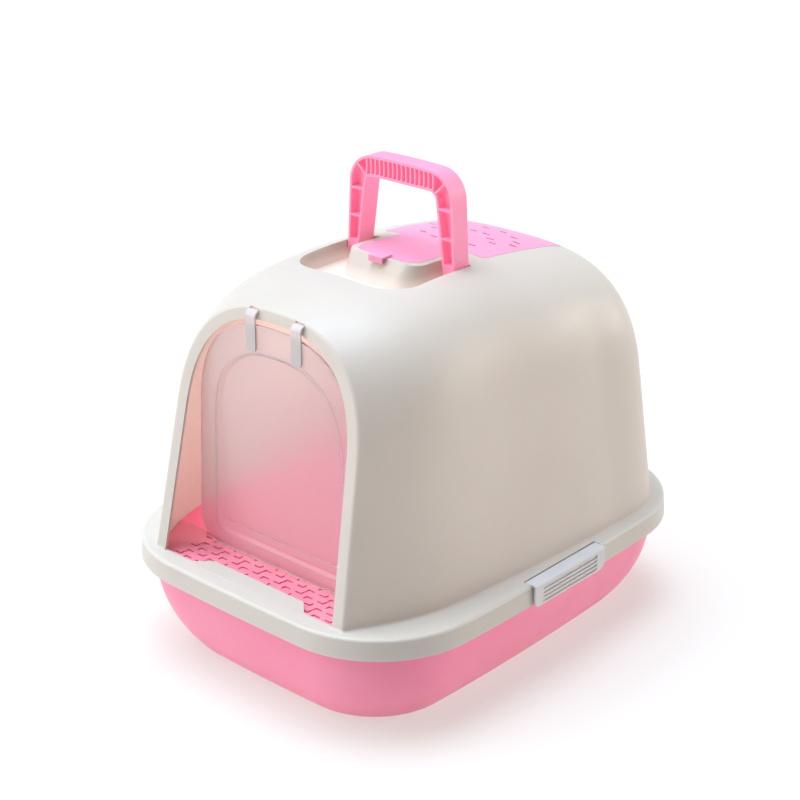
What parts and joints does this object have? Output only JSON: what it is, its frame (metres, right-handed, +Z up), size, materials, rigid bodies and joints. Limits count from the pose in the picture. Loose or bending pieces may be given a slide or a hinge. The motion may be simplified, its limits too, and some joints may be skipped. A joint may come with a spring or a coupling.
{
  "type": "hooded cat litter box",
  "caption": "Hooded cat litter box with a deep pan, lift-off domed hood, swinging entry door, perforated step, folding carry handle, filter lid and side latches.",
  "frame": {"origin": "middle of the footprint, on the surface the pan stands on", "axes": "+Z up, the doorway faces -Y, +X to the right when seen from the front"},
  "size_m": [0.42, 0.52, 0.4965],
  "materials": {
    "pan_pink": "satin moulded plastic",
    "grate_pink": "satin moulded plastic",
    "hood_white": "fine satin moulded plastic",
    "handle_pink": "satin moulded plastic",
    "lid_pink": "satin moulded plastic",
    "filter_black": "carbon felt",
    "door_frosted": "frosted translucent plastic",
    "hook_white": "translucent white plastic",
    "latch_grey": "satin moulded plastic"
  },
  "bodies": {
    "pan": {"litter_pan": "pan_pink", "entry_grate": "grate_pink"},
    "hood": {"hood_shell": "hood_white", "filter_pad": "filter_black"},
    "handle": {"carry_handle": "handle_pink"},
    "lid": {"vent_lid": "lid_pink"},
    "door": {"swing_door": "door_frosted", "door_hook_left": "hook_white", "door_hook_right": "hook_white"},
    "latch_right": {"latch_right": "latch_grey"},
    "latch_left": {"latch_left": "latch_grey"}
  },
  "joints": [
    {"name": "hood_lift", "type": "slide", "parent": "pan", "child": "hood", "axis": [0, 0, 1], "range_m": [0, 0.15]},
    {"name": "handle_fold", "type": "hinge", "parent": "hood", "child": "handle", "pos_m": [0, -0.003, 0.3965], "axis": [1, 0, 0], "range_deg": [0, 90]},
    {"name": "lid_open", "type": "hinge", "parent": "hood", "child": "lid", "pos_m": [0, 0.156, 0.3792], "axis": [-1, 0, 0], "range_deg": [0, 20]},
    {"name": "door_swing", "type": "hinge", "parent": "hood", "child": "door", "pos_m": [0, -0.1866, 0.3779], "axis": [1, 0, 0], "range_deg": [-70, 70]},
    {"name": "latch_right_open", "type": "hinge", "parent": "hood", "child": "latch_right", "pos_m": [0.1975, 0.007, 0.1156], "axis": [0, -1, 0], "range_deg": [0, 95]},
    {"name": "latch_left_open", "type": "hinge", "parent": "hood", "child": "latch_left", "pos_m": [-0.1975, 0.007, 0.1156], "axis": [0, 1, 0], "range_deg": [0, 95]}
  ]
}
